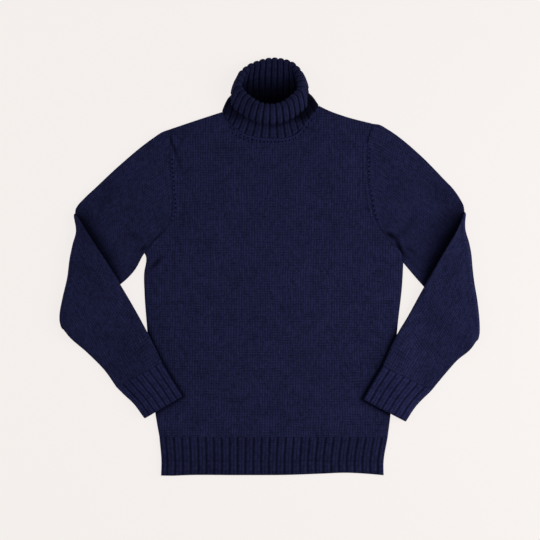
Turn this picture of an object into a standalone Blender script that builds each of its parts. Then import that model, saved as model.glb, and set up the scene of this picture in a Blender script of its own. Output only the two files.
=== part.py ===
"""A chunky roll-neck sweater laid flat on its back, both sleeves folded over onto the front.

The table is z = 0. +Y runs from the hem to the collar and +X is to the right, seen from above.
Left and right in the names are the wearer's, so the right sleeve lies at -X.
Tables are in millimetres. Each has a row for a section or a place, under named columns.
"""

import math

import bmesh
import bpy
import numpy as np

MM = 0.001

# Cloth
WALL = 3.2 * MM  # the knitted wall
SEAM = 0.3 * MM  # the gap at a seam
RIB_RISE = 1.5 * MM  # from the groove beside a rib to its crest
RIB_GROOVE_WALL = 2.6 * MM  # the wall under a groove of the hem and cuffs
COLLAR_WALL = 3.0 * MM

# Layers of the body
BACK_TOP = WALL
FRONT_BASE = BACK_TOP + 0.4 * MM
FRONT_SWELL = 2.2 * MM  # air between front and back, at its most
SWELL_ACROSS, SWELL_UP = 6, 8  # the higher, the nearer the edge the swell begins
EDGE_STRIP = 0.009  # of a row, the narrow strip where a panel's edge is rounded
EDGE_DROP = 1.2 * MM

# Sleeves, flattened tubes that fold over onto the front
SLEEVE_ROUND = 3.8 * MM  # radius of a flattened sleeve's long edges
SLEEVE_SWELL = 1.6 * MM  # fullness of the upper arm over that
FOREARM_SWELL = 2.4 * MM
FOLD_RADIUS = 6.0 * MM  # from the fold's axis to the middle of the sleeve
FOREARM_LIFT = 10.6 * MM  # underside of the forearm where it lies on the body or the upper arm
SAG_FROM, SAG_TO = 2 * MM, 62 * MM  # past what it lies on, the forearm comes down to the table
FOLD_EASE = 0.3  # of the forearm's length, over which it settles from the height of the fold
ARMHOLE_GAP = 0.9 * MM  # along X, which is less across the seam where it runs aslant
SLEEVE_INNER_POINTS = 7  # across the flat of a sleeve, on each layer
UPPER_ARM_LOOPS, FOLD_LOOPS, FOREARM_LOOPS = 8, 7, 10

# Ribs, two knitted and two purled columns each
HEM_RIBS = 28.54  # across the front, edge to edge
HEM_FIRST_GROOVE = 0.77  # of a rib from the side seam
CUFF_RIBS = 14  # all round
COLLAR_RIBS = 30
RIB_CREST = (0.24, 0.76)  # where the crest begins and ends, in shares of a rib

# Rises of the ribs along the hem and cuffs, which are rounded at the free edge
HEM_HEIGHT = 76 * MM
HEM_ROWS = [  # share up from the free edge, share of the rise
    (0.0, 0.35),
    (0.03, 1.0),
    (0.5, 1.0),
    (1 - SEAM / HEM_HEIGHT, 0.75),
]
CUFF_ROWS = [  # share down to the free edge, share of the rise
    (0.006, 0.75),
    (0.04, 1.0),
    (0.5, 1.0),
    (0.97, 1.0),
    (1.0, 0.35),
]

# Side edge of the front and back, from the top of the hem rib to the underarm
SIDES = {  # x, y
    "right": [(-215.0, -330.5), (-221.2, -295.4), (-239.8, -108.2), (-244.8, -35.0), (-241.0, 21.5)],
    "left": [(229.8, -330.5), (234.3, -295.4), (249.7, -108.2), (256.9, -35.0), (260.2, 7.8)],
}
# Armhole, from the underarm to the shoulder tip
ARMHOLES = {  # x, y
    "right": [(-241.0, 21.5), (-235.5, 39.0), (-200.4, 80.0), (-188.7, 115.1), (-191.6, 161.9),
              (-195.0, 224.3), (-193.5, 268.5)],
    "left": [(260.2, 7.8), (255.9, 27.3), (232.5, 50.7), (203.3, 97.5), (194.5, 138.5),
             (188.7, 191.1), (191.6, 243.8), (200.4, 277.5)],
}
# Shoulder, from the neckline to the armhole
SHOULDERS = {  # x, y
    "right": [(-92.7, 301.9), (-142.0, 286.5), (-193.5, 268.5)],
    "left": [(96.0, 314.0), (144.9, 293.8), (200.4, 277.5)],
}
# Neckline from the wearer's right shoulder to the left
NECKLINES = {  # x, y
    "front": [(-92.7, 301.9), (-73.8, 279.8), (-51.2, 262.9), (-22.9, 253.5), (3.6, 251.2),
              (33.6, 253.5), (52.6, 260.9), (67.6, 279.8), (84.7, 302.4), (96.0, 314.0)],
    "back": [(-92.7, 301.9), (-84.5, 297.0), (-72.0, 301.0), (-52.0, 306.0), (-28.0, 307.8),
             (2.4, 308.5), (36.0, 312.0), (60.0, 313.2), (76.0, 309.5), (88.0, 308.4), (96.0, 314.0)],
}
# Rib at the hem: top, free edge and the two ends
HEM_TOP = [(-215.0, -330.5), (0.0, -331.0), (229.8, -330.5)]
HEM_BOTTOM = [(-211.7, -406.5), (-60.0, -406.8), (90.0, -404.8), (152.0, -400.9), (195.0, -403.5),
              (222.8, -406.0)]
HEM_RIGHT = [(-211.7, -406.5), (-211.0, -381.0), (-215.0, -330.5)]
HEM_LEFT = [(222.8, -406.0), (222.6, -376.0), (229.8, -330.5)]

PANEL_HEIGHT = 600 * MM
UNDERARM = 0.575  # share of a panel's height at the underarm
NECK_FROM, NECK_TO = 0.257, 0.739  # shares of a panel's width at the two ends of the neckline

# Outline of each sleeve. The upper edge starts at the shoulder tip and the under edge at the
# underarm. Both end at the fold, where the forearm's inner and outer edges begin.
SLEEVES = {  # x, y
    "right": {
        "upper": [(-193.5, 268.5), (-224.5, 251.0), (-292.0, 197.5), (-348.0, 146.0), (-368.5, 122.0)],
        "under": [(-241.0, 21.5), (-260.0, 1.0), (-289.0, -30.5), (-398.3, -120.9)],
        "fold": [(-368.5, 122.0), (-370.4, 62.4), (-381.7, 0.0), (-394.5, -64.4), (-398.3, -120.9)],
        "inner": [(-368.5, 122.0), (-336.9, 42.9), (-311.5, -2.0), (-270.6, -70.2), (-239.4, -124.8),
                  (-208.7, -186.0)],
        "outer": [(-398.3, -120.9), (-385.0, -139.4), (-351.7, -170.6), (-321.3, -201.8), (-297.9, -233.0)],
        "cuff_inner": [(-208.7, -186.0), (-189.0, -219.0), (-169.2, -250.4)],
        "cuff_outer": [(-297.9, -233.0), (-284.0, -248.6), (-266.7, -264.2), (-243.2, -294.5)],
        "fold_out": (-0.990, -0.141),
    },
    "left": {
        "upper": [(200.4, 277.5), (229.0, 267.5), (290.8, 219.4), (338.8, 172.6), (366.5, 144.5),
                  (372.0, 123.0)],
        "under": [(260.2, 7.8), (279.1, -14.6), (298.8, -37.1), (398.2, -139.0)],
        "fold": [(372.0, 123.0), (372.5, 72.2), (383.7, 9.8), (393.4, -60.5), (398.2, -139.0)],
        "inner": [(372.0, 123.0), (351.5, 52.6), (326.1, 7.8), (299.4, -37.1), (248.7, -126.8),
                  (218.3, -193.1)],
        "outer": [(398.2, -139.0), (383.0, -165.0), (348.2, -201.8), (312.5, -238.9)],
        "cuff_inner": [(218.3, -193.1), (199.5, -224.0), (181.8, -253.5)],
        "cuff_outer": [(312.5, -238.9), (280.7, -272.8), (263.7, -296.8)],
        "fold_out": (0.992, -0.125),
    },
}

# The collar. Its wall rises from the seam, bends at the top of its base, turns over at the fold
# and hangs down to its free edge. The rows go from the centre back round by the right shoulder.
COLLAR = [  # seam x, y, z; base x, y, z; fold x, y, z; edge x, y, z
    [(2.4, 310.2, 1.8), (2.4, 349.0, 5.8), (3.4, 399.0, 5.9), (2.2, 357.6, 1.8)],
    [(-30.0, 309.6, 1.8), (-34.6, 347.0, 6.4), (-31.7, 390.0, 10.0), (-38.6, 355.3, 2.4)],
    [(-60.0, 308.4, 1.8), (-60.5, 342.5, 8.0), (-52.2, 374.6, 20.0), (-68.4, 348.6, 7.2)],
    [(-78.0, 305.2, 2.6), (-73.0, 335.0, 9.5), (-59.7, 361.5, 28.0), (-78.3, 337.6, 15.8)],
    [(-84.0, 297.5, 5.2), (-77.0, 324.0, 13.0), (-61.0, 349.0, 34.5), (-73.5, 323.0, 23.5)],
    [(-76.0, 287.5, 5.8), (-68.5, 311.5, 15.5), (-55.0, 336.0, 39.5), (-70.5, 308.0, 26.5)],
    [(-60.0, 273.0, 6.2), (-50.0, 297.5, 15.5), (-41.0, 322.5, 44.0), (-53.0, 294.5, 28.5)],
    [(-32.0, 258.0, 6.2), (-26.0, 284.0, 17.5), (-20.5, 309.3, 48.5), (-28.0, 281.5, 32.5)],
    [(3.6, 253.2, 6.2), (3.6, 278.9, 18.5), (3.5, 305.2, 50.0), (3.6, 275.3, 34.0)],
    [(37.0, 256.6, 6.2), (31.5, 284.0, 17.5), (27.5, 311.0, 48.5), (33.0, 282.0, 32.5)],
    [(60.0, 276.5, 6.2), (53.5, 298.5, 15.5), (47.5, 326.0, 44.0), (55.0, 295.5, 28.5)],
    [(75.0, 297.0, 5.8), (69.5, 312.0, 15.5), (59.5, 339.5, 39.5), (68.5, 308.0, 26.5)],
    [(86.6, 308.0, 5.3), (79.0, 325.0, 14.0), (64.5, 351.5, 34.5), (73.8, 323.3, 24.2)],
    [(82.4, 317.2, 2.6), (75.5, 336.0, 9.5), (63.5, 363.5, 28.0), (79.6, 340.0, 17.4)],
    [(64.0, 317.3, 1.8), (63.5, 344.0, 8.0), (57.0, 376.0, 20.0), (71.2, 350.4, 7.4)],
    [(36.0, 314.0, 1.8), (39.5, 347.5, 6.4), (38.0, 391.4, 10.0), (42.7, 355.6, 2.2)],
]
SEAM_LINE, BASE_LINE, FOLD_LINE, EDGE_LINE = range(4)
COLLAR_ROWS = [  # stretch of the wall, share along it, rise of the ribs inside, rise outside
    ("stand", 0.0, 0.0, 0.5),
    ("stand", 0.12, 0.0, 1.0),
    ("stand", 0.28, 0.2, 1.0),
    ("stand", 0.45, 0.6, 1.0),
    ("stand", 0.63, 1.0, 0.0),
    ("stand", 0.82, 1.0, 0.0),
    ("fold", 0.0, 1.0, 0.0),
    ("fold", 0.22, 1.0, 0.0),
    ("fold", 0.5, 1.0, 0.0),
    ("fold", 0.78, 1.0, 0.0),
    ("flap", 0.0, 1.0, 0.0),
    ("flap", 0.3, 1.0, 0.0),
    ("flap", 0.65, 1.0, 0.0),
    ("flap", 0.93, 1.0, 0.0),
    ("flap", 1.0, 0.3, 0.0),
]
COLLAR_TURN = 4.2 * MM  # radius of the fold, to the middle of the wall
FLAP_BULGE = 1.5 * MM
BULGE_HEIGHTS = 4 * MM, 20 * MM  # the flap bulges more the higher it hangs
FLAT_HEIGHTS = 2.4 * MM, 8 * MM  # the flap's ribs are pressed flat where it lies on the table
BASE_RIBS = 0.38, 0.22  # of the collar from the centre front, where the base's ribs end and are full

# sRGB colours and the roughness of the wool
NAVY = "1B1D36"
NAVY_RIB = "191A31"
WOOL_ROUGHNESS = 0.95
SHARP_ANGLE = 50  # degrees between faces that are shaded as an edge
LINE_STEPS = 600  # steps that measure the length of a smooth line


def colour(hex_colour):
    """An sRGB hex colour as linear RGBA."""
    parts = [int(hex_colour[i:i + 2], 16) / 255 for i in (0, 2, 4)]
    return [c / 12.92 if c <= 0.04045 else ((c + 0.055) / 1.055) ** 2.4 for c in parts] + [1.0]


def wool(name, hex_colour):
    """Matt dyed wool."""
    material = bpy.data.materials.new(name)
    material.use_nodes = True
    shader = material.node_tree.nodes["Principled BSDF"]
    shader.inputs["Base Color"].default_value = colour(hex_colour)
    shader.inputs["Roughness"].default_value = WOOL_ROUGHNESS
    shader.inputs["Metallic"].default_value = 0.0
    material.diffuse_color = colour(hex_colour)
    return material


def ramp(x, low, high):
    """0 below low, 1 above high and smooth between."""
    s = np.clip((np.asarray(x, float) - low) / (high - low), 0, 1)
    return s * s * (3 - 2 * s)


def unit(vectors):
    return vectors / np.linalg.norm(vectors, axis=-1)[..., None]


def hermite(knots, at, slopes, where):
    """Points at the places where, on the curve through knots that stand at the places at."""
    i = np.clip(np.searchsorted(at, where, side="right") - 1, 0, len(at) - 2)
    span = (at[i + 1] - at[i])[:, None]
    s = ((where - at[i]) / (at[i + 1] - at[i]))[:, None]
    return (
        (2 * s**3 - 3 * s**2 + 1) * knots[i]
        + (s**3 - 2 * s**2 + s) * span * slopes[i]
        + (3 * s**2 - 2 * s**3) * knots[i + 1]
        + (s**3 - s**2) * span * slopes[i + 1]
    )


def lengths_along(points):
    """Length of a line of points up to each of them."""
    return np.concatenate([[0.0], np.cumsum(np.linalg.norm(np.diff(points, axis=0), axis=1))])


def smooth_line(points):
    """A smooth line through the points, as a function of the share 0 to 1 of its length."""
    knots = np.array(points, float) * MM
    at = lengths_along(knots)
    slopes = np.gradient(knots, at, axis=0)
    fine = np.linspace(0, at[-1], LINE_STEPS)
    length = lengths_along(hermite(knots, at, slopes, fine))

    def line(share):
        share = np.atleast_1d(np.asarray(share, float))
        return hermite(knots, at, slopes, np.interp(share * length[-1], length, fine))

    return line


def joined(lines, breaks):
    """Lines end to end as one function of 0 to 1, which passes from one to the next at the breaks."""
    ends = [0.0, *breaks, 1.0]

    def line(share):
        share = np.atleast_1d(np.asarray(share, float))
        which = np.clip(np.searchsorted(ends, share, side="right") - 1, 0, len(lines) - 1)
        out = np.zeros((len(share), 2))
        for i, part in enumerate(lines):
            here = which == i
            if here.any():
                out[here] = part((share[here] - ends[i]) / (ends[i + 1] - ends[i]))
        return out

    return line


def patch(south, north, west, east):
    """The surface that four edge lines span, as a function of the shares across and up."""

    def at(across, up):
        u, v = np.meshgrid(np.asarray(across, float), np.asarray(up, float))
        flat_u, flat_v = u.ravel(), v.ravel()
        a, b = flat_u[:, None], flat_v[:, None]
        ruled = (1 - b) * south(flat_u) + b * north(flat_u) + (1 - a) * west(flat_v) + a * east(flat_v)
        corners = (
            (1 - a) * (1 - b) * south(0.0)
            + a * (1 - b) * south(1.0)
            + (1 - a) * b * north(0.0)
            + a * b * north(1.0)
        )
        return (ruled - corners).reshape(*u.shape, 2)

    return at


def raised(plan, height):
    """Plan points with their heights."""
    return np.dstack([plan, np.broadcast_to(height, plan.shape[:2])])


def cloth_wall(name, face, lining, ring, hex_colour):
    """One closed wall between two grids of points. A ring's columns run all the way round."""
    rows, columns = face.shape[:2]
    shape = bmesh.new()
    top, under = [[[shape.verts.new(point) for point in row] for row in grid] for grid in (face, lining)]
    last = columns if ring else columns - 1
    for r in range(rows - 1):
        for c in range(last):
            d = (c + 1) % columns
            shape.faces.new((top[r][c], top[r][d], top[r + 1][d], top[r + 1][c]))
            shape.faces.new((under[r][c], under[r + 1][c], under[r + 1][d], under[r][d]))
    for c in range(last):
        d = (c + 1) % columns
        shape.faces.new((top[0][d], top[0][c], under[0][c], under[0][d]))
        shape.faces.new((top[-1][c], top[-1][d], under[-1][d], under[-1][c]))
    if not ring:
        for r in range(rows - 1):
            shape.faces.new((top[r][0], top[r + 1][0], under[r + 1][0], under[r][0]))
            shape.faces.new((top[r + 1][-1], top[r][-1], under[r][-1], under[r + 1][-1]))
    bmesh.ops.recalc_face_normals(shape, faces=shape.faces)
    bmesh.ops.triangulate(shape, faces=shape.faces)
    mesh = bpy.data.meshes.new(name)
    shape.to_mesh(mesh)
    shape.free()
    mesh.shade_smooth()
    mesh.set_sharp_from_angle(angle=math.radians(SHARP_ANGLE))
    mesh.materials.append(wool(name, hex_colour))
    piece = bpy.data.objects.new(name, mesh)
    bpy.context.scene.collection.objects.link(piece)


def shoulder_line(neckline):
    """The top edge of a panel: shoulder, neckline and shoulder."""
    right, left = smooth_line(SHOULDERS["right"][::-1]), smooth_line(SHOULDERS["left"])
    return joined([right, smooth_line(NECKLINES[neckline]), left], [NECK_FROM, NECK_TO])


def body_edge(side):
    """A panel's side seam and armhole as one line."""
    return joined([smooth_line(SIDES[side]), smooth_line(ARMHOLES[side])], [UNDERARM])


def body_patch(neckline):
    """Plan of the front or the back above its hem rib."""
    return patch(smooth_line(HEM_TOP), shoulder_line(neckline), body_edge("right"), body_edge("left"))


def panel_columns(shoulder, neck):
    """Shares across a panel, from the number of points over a shoulder and over the neckline."""
    return np.concatenate([
        [0.0],
        np.linspace(EDGE_STRIP, NECK_FROM, shoulder),
        np.linspace(NECK_FROM, NECK_TO, neck)[1:],
        np.linspace(NECK_TO, 1 - EDGE_STRIP, shoulder)[1:],
        [1.0],
    ])


def panel_rows(below):
    """Shares up a panel. Above the underarm they are the sleeve's own points on the armhole."""
    above = np.linspace(UNDERARM, 1, SLEEVE_INNER_POINTS + 2)
    return np.concatenate([np.linspace(SEAM / PANEL_HEIGHT, UNDERARM, below)[:-1], above])


def swell(across, up):
    """How far the front has risen off the back, from 0 at its edges to 1."""
    u, v = np.meshgrid(across, up)
    return (1 - np.abs(2 * u - 1) ** SWELL_ACROSS) * (1 - np.abs(2 * v - 1) ** SWELL_UP)


def edge_drop(across):
    """The rounding of a panel's two long edges."""
    return np.where((across == 0) | (across == 1), EDGE_DROP, 0.0)


def back():
    across, up = panel_columns(4, 15), panel_rows(6)
    plan = body_patch("back")(across, up)
    cloth_wall("back", raised(plan, BACK_TOP), raised(plan, edge_drop(across)), False, NAVY)


def front():
    across, up = panel_columns(6, 12), panel_rows(9)
    plan = body_patch("front")(across, up)
    base = FRONT_BASE + FRONT_SWELL * swell(across, up)
    cloth_wall("front", raised(plan, base + WALL - edge_drop(across)), raised(plan, base), False, NAVY)


def rib_places(first_groove, ribs):
    """Shares of the way across a flat rib, and for each of them 0 in a groove or 1 on a crest."""
    places = [(0.0, 1.0)]
    for groove in np.arange(first_groove - 1, ribs):
        marks = [(groove, 0.0), (groove + RIB_CREST[0], 1.0), (groove + RIB_CREST[1], 1.0)]
        places += [mark for mark in marks if RIB_CREST[0] / 2 < mark[0] < ribs - RIB_CREST[0] / 2]
    places.append((ribs, 1.0))
    place, crest = np.array(places).T
    return place / ribs, crest


def hem_patch():
    """Plan of the rib at the hem."""
    return patch(*[smooth_line(line) for line in (HEM_BOTTOM, HEM_TOP, HEM_RIGHT, HEM_LEFT)])


def hem_front():
    across, crest = rib_places(HEM_FIRST_GROOVE, HEM_RIBS)
    up, rise = np.array(HEM_ROWS).T
    plan = hem_patch()(across, up)
    top = FRONT_BASE + RIB_GROOVE_WALL + RIB_RISE * np.outer(rise, crest)
    cloth_wall("hem_front", raised(plan, top), raised(plan, FRONT_BASE), False, NAVY_RIB)


def hem_back():
    """Its ribs are pressed flat under the front."""
    plan = hem_patch()(np.linspace(0, 1, 9), [0.0, 0.5, 1 - SEAM / HEM_HEIGHT])
    cloth_wall("hem_back", raised(plan, BACK_TOP), raised(plan, 0.0), False, NAVY_RIB)


def outside(plan, line, side):
    """How far plan points lie past a line, on the side of the wearer's arm."""
    trace = line(np.linspace(0, 1, 60))
    ahead = unit(np.gradient(trace, axis=0))
    nearest = np.argmin(np.linalg.norm(plan[..., None, :] - trace, axis=-1), axis=-1)
    away = plan - trace[nearest]
    turn = 1 if side == "right" else -1
    return turn * (ahead[nearest][..., 0] * away[..., 1] - ahead[nearest][..., 1] * away[..., 0])


def forearm_base(plan, side):
    """Underside of a forearm: up on the body and the upper arm, down on the table past both."""
    off_body = ramp(outside(plan, body_edge(side), side), SAG_FROM, SAG_TO)
    off_arm = ramp(outside(plan, smooth_line(SLEEVES[side]["under"]), side), SAG_FROM, SAG_TO)
    return FOREARM_LIFT * (1 - off_body * off_arm)


def flat_loop(edges, across_to_plan, middle_z, inset, lower, upper, up):
    """A closed loop round a flattened sleeve.

    edges are its two long edges, lower and upper the fullness of its two layers, and up points
    from the one to the other. inset 0 gives the outside.
    """
    width = np.linalg.norm(edges[1] - edges[0])
    radius = SLEEVE_ROUND - inset
    round_edge = np.array([0.0, 0.29, 1.0])  # shares of the radius in from the edge
    round_rise = np.array([0.0, 0.704, 1.0])  # and of the radius up from the middle
    near = (round_edge * radius + inset) / width
    between = np.arange(1, SLEEVE_INNER_POINTS + 1) / (SLEEVE_INNER_POINTS + 1)
    across = np.concatenate([near, between, 1 - near[::-1]])
    rise = radius * np.concatenate([round_rise, np.ones(SLEEVE_INNER_POINTS), round_rise[::-1]])
    full = np.where(rise == radius, 1 - np.abs(2 * across - 1) ** 2.5, 0.0)
    plan = across_to_plan(across)
    middle = np.column_stack([plan, middle_z(plan)])
    over = middle + (rise + upper * full)[:, None] * up
    beneath = middle - (rise + lower * full)[:, None] * up
    return np.vstack([over, beneath[-2:0:-1]])


def sleeve_loops(side, inset):
    """Loops of points down one sleeve: upper arm, fold and forearm. inset 0 gives its outside."""
    table = SLEEVES[side]
    lines = {key: smooth_line(table[key]) for key in ("upper", "under", "fold", "inner", "outer")}
    armhole = smooth_line(ARMHOLES[side][::-1])
    wrist = smooth_line([table["inner"][-1], table["outer"][-1]])
    upper_arm = patch(armhole, lines["fold"], lines["upper"], lines["under"])
    forearm = patch(lines["fold"], wrist, lines["inner"], lines["outer"])
    upwards = np.array([0.0, 0.0, 1.0])
    loops = []

    off_body = np.array([-ARMHOLE_GAP if side == "right" else ARMHOLE_GAP, 0.0])
    for along in np.linspace(0, 1, UPPER_ARM_LOOPS):
        loops.append(flat_loop(
            upper_arm([0, 1], [along])[0],
            lambda across, a=along: upper_arm(across, [a])[0] + (1 - a) * off_body,
            lambda plan: np.full(len(plan), SLEEVE_ROUND),
            inset, 0.0, SLEEVE_SWELL * ramp(along, -0.3, 0.9), upwards,
        ))

    axis_z = SLEEVE_ROUND + FOLD_RADIUS
    for turn in np.linspace(0, 1, FOLD_LOOPS + 2)[1:-1]:
        a = math.pi * turn
        outward = math.sin(a) * np.array([*table["fold_out"], 0.0]) - math.cos(a) * upwards
        loops.append(flat_loop(
            lines["fold"]([0, 1]),
            lambda across, o=outward: lines["fold"](across) + FOLD_RADIUS * o[:2],
            lambda plan, o=outward: np.full(len(plan), axis_z + FOLD_RADIUS * o[2]),
            inset, FOREARM_SWELL * turn, SLEEVE_SWELL * (1 - turn), -outward,
        ))

    top_of_fold = axis_z + FOLD_RADIUS
    for along in np.linspace(0, 1 - SEAM / PANEL_HEIGHT, FOREARM_LOOPS):

        def middle_z(plan, settled=ramp(along, 0.0, FOLD_EASE)):
            return top_of_fold + (forearm_base(plan, side) + SLEEVE_ROUND - top_of_fold) * settled

        loops.append(flat_loop(
            forearm([0, 1], [along])[0],
            lambda across, a=along: forearm(across, [a])[0],
            middle_z, inset, FOREARM_SWELL, 0.0, -upwards,
        ))
    return np.array(loops)


def sleeve(side):
    cloth_wall(f"sleeve_{side}", sleeve_loops(side, 0.0), sleeve_loops(side, WALL), True, NAVY)


def cuff_loop(side, ends, inset, rise):
    """A closed loop round a cuff. rise is that of its ribs, which are pressed flat underneath."""
    half = CUFF_RIBS / 2
    marks = [(0.0, 1.0)]
    for groove in np.arange(0.5, half):
        marks += [(groove - RIB_CREST[0], 1.0), (groove, 0.0), (groove + RIB_CREST[0], 1.0)]
    marks.append((half, 1.0))
    place, crest = np.array(marks).T
    width = np.linalg.norm(ends[1] - ends[0])
    radius = SLEEVE_ROUND - inset
    across = (inset + place / half * (width - 2 * inset)) / width
    from_edge = np.clip((np.minimum(across, 1 - across) * width - inset) / radius, 0, 1)
    plan = ends[0] + across[:, None] * (ends[1] - ends[0])
    middle = forearm_base(plan, side) + SLEEVE_ROUND
    height = (radius - rise / 2 + rise * crest) * np.sqrt(1 - (1 - from_edge) ** 2)
    over = np.column_stack([plan, middle + height])
    beneath = np.column_stack([plan, middle - np.minimum(height, radius)])
    return np.vstack([over, beneath[-2:0:-1]])


def cuff(side):
    inner = smooth_line(SLEEVES[side]["cuff_inner"])
    outer = smooth_line(SLEEVES[side]["cuff_outer"])
    face, lining = [], []
    for along, rise in CUFF_ROWS:
        ends = np.vstack([inner(along), outer(along)])
        face.append(cuff_loop(side, ends, 0.0, RIB_RISE * rise))
        lining.append(cuff_loop(side, ends, RIB_GROOVE_WALL, 0.0))
    cloth_wall(f"cuff_{side}", np.array(face), np.array(lining), True, NAVY_RIB)


def collar_line(which, row):
    """Points of one guide line of the collar, at places counted in rows of its table."""
    knots = np.array([guides[which] for guides in COLLAR], float) * MM
    count = len(knots)
    knots = np.vstack([knots[-2:], knots, knots[:3]])
    at = np.arange(-2.0, count + 3)
    return hermite(knots, at, np.gradient(knots, at, axis=0), np.asarray(row, float) % count)


def rows_round(share):
    """Rows of the collar's table at even shares of the way round its middle."""
    fine = np.linspace(0, len(COLLAR), LINE_STEPS)
    length = lengths_along((collar_line(BASE_LINE, fine) + collar_line(FOLD_LINE, fine)) / 2)
    return np.interp(share * length[-1], length, fine)


def bend(start, middle, end, s):
    """A point on a smooth curve from start by middle to end, at the share s."""
    return (1 - s) * (1 - 2 * s) * start + 4 * s * (1 - s) * middle + s * (2 * s - 1) * end


def collar_middle(share):
    """The middle of the collar's wall, with a row for each in COLLAR_ROWS."""
    at = rows_round(share)
    lines = (SEAM_LINE, BASE_LINE, FOLD_LINE, EDGE_LINE)
    seam, base, fold, edge = [collar_line(which, at) for which in lines]
    step = 0.05
    round_neck = collar_line(FOLD_LINE, at + step) - collar_line(FOLD_LINE, at - step)
    out = unit(np.cross(round_neck, fold - base))
    up = unit(np.cross(out, round_neck))
    fold_inside, fold_outside = fold - COLLAR_TURN * out, fold + COLLAR_TURN * out
    halfway = (fold_outside + edge) / 2
    halfway = halfway + FLAP_BULGE * ramp(halfway[:, 2], *BULGE_HEIGHTS)[:, None] * out
    rows = []
    for stretch, s, _, _ in COLLAR_ROWS:
        if stretch == "stand":
            rows.append(bend(seam, base, fold_inside, s))
        elif stretch == "fold":
            rows.append(fold + COLLAR_TURN * (math.sin(math.pi * s) * up - math.cos(math.pi * s) * out))
        else:
            rows.append(bend(fold_outside, halfway, edge, s))
    return np.array(rows)


def collar():
    """One rib wall. Its ribs show inside the mouth, on the flap and on the base under the flap."""
    marks = []
    for rib in range(COLLAR_RIBS):
        marks += [(rib, 0.0), (rib + RIB_CREST[0], 1.0), (rib + RIB_CREST[1], 1.0)]
    place, crest = np.array(marks).T
    share = place / COLLAR_RIBS
    middle = collar_middle(share)
    round_neck = np.roll(middle, -1, axis=1) - np.roll(middle, 1, axis=1)
    normal = unit(np.cross(round_neck, np.gradient(middle, axis=0)))
    inside = np.array([row[2] for row in COLLAR_ROWS])[:, None]
    outside_rise = np.array([row[3] for row in COLLAR_ROWS])[:, None]
    on_flap = np.array([[row[0] == "flap"] for row in COLLAR_ROWS])
    pressed = np.where(on_flap, ramp(middle[..., 2], *FLAT_HEIGHTS), 1.0)
    shows = ramp(np.abs(share - 0.5), *BASE_RIBS)
    face = middle - normal * (COLLAR_WALL / 2 + RIB_RISE * crest * inside * pressed)[..., None]
    lining = middle + normal * (COLLAR_WALL / 2 + RIB_RISE * crest * outside_rise * shows)[..., None]
    cloth_wall("collar", face, lining, True, NAVY_RIB)


def clear_scene():
    for thing in list(bpy.data.objects):
        bpy.data.objects.remove(thing, do_unlink=True)


def main():
    clear_scene()
    back()
    front()
    hem_back()
    hem_front()
    for side in ("right", "left"):
        sleeve(side)
        cuff(side)
    collar()


main()
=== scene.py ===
"""A chunky navy roll-neck sweater laid flat on a pale floor, seen from straight above.

Every knitted piece is a thin shell on the form of its solid, with rounded edges, finer ribs and
the creases that lie in the cloth. Shade is painted into the wool's colour between its stitches,
in its grooves and creases, beside the forearms and cuffs, deep in the neck and under the collar's
flap; the holes between stitches are dark beads of painted shade, and the raised loops are painted
lighter as painted light. Tables are in millimetres, with the table at z = 0, +Y towards
the collar and +X to the right. Left and right in the names are the wearer's.
"""

import math

import bmesh
import bpy
import numpy as np
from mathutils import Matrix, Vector
from mathutils.bvhtree import BVHTree


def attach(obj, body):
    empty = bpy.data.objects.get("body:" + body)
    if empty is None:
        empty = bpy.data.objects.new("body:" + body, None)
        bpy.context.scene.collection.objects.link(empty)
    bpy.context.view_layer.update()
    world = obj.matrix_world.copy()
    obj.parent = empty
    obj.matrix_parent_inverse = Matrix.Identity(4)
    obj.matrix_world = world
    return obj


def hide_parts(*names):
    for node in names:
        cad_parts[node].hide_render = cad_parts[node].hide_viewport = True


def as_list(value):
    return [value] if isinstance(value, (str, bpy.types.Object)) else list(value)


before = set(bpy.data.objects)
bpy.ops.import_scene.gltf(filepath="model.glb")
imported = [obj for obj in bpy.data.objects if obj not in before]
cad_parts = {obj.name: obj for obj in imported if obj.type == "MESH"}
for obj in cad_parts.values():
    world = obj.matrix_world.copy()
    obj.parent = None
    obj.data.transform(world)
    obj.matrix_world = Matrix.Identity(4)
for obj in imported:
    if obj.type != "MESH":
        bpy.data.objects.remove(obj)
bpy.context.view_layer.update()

MM = 0.001

# Cloth and layers, as the solids have them
WALL = 3.2 * MM
BACK_TOP = WALL
FRONT_BASE = BACK_TOP + 0.4 * MM
FRONT_SWELL = 2.2 * MM
SWELL_ACROSS, SWELL_UP = 6, 8  # powers that keep the middle of the front level
SLEEVE_ROUND = 3.8 * MM  # radius of a flattened sleeve's edge
SLEEVE_SWELL = 1.6 * MM
FOREARM_SWELL = 2.4 * MM
FOLD_RADIUS = 6.0 * MM
FOREARM_LIFT = 10.6 * MM  # of a forearm that lies on the body
SAG_FROM, SAG_TO = 2 * MM, 62 * MM  # past the body, over which it comes down to the table
FOLD_EASE = 0.3  # share of a forearm over which it comes down from the fold
UPPER_ARM_LENGTH = 200 * MM

# Folds at the elbows
FOLD_END = 16 * MM  # length of the curve at the ends of the folds
FOLD_CORNERS = 2.5, 6.0  # the powers that shape the top and the bottom end of a fold
FOLD_START = 0.85  # share of the upper arm from which it turns into the fold
FOLD_SETTLES = 0.15  # share of the forearm at which the fold has ended
EDGE_LIFT = 11 * MM  # of a forearm's inner edge off the upper arm
LIFT_ENDS = 0.3, 0.6  # shares of the forearm between which that edge comes down

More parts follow.
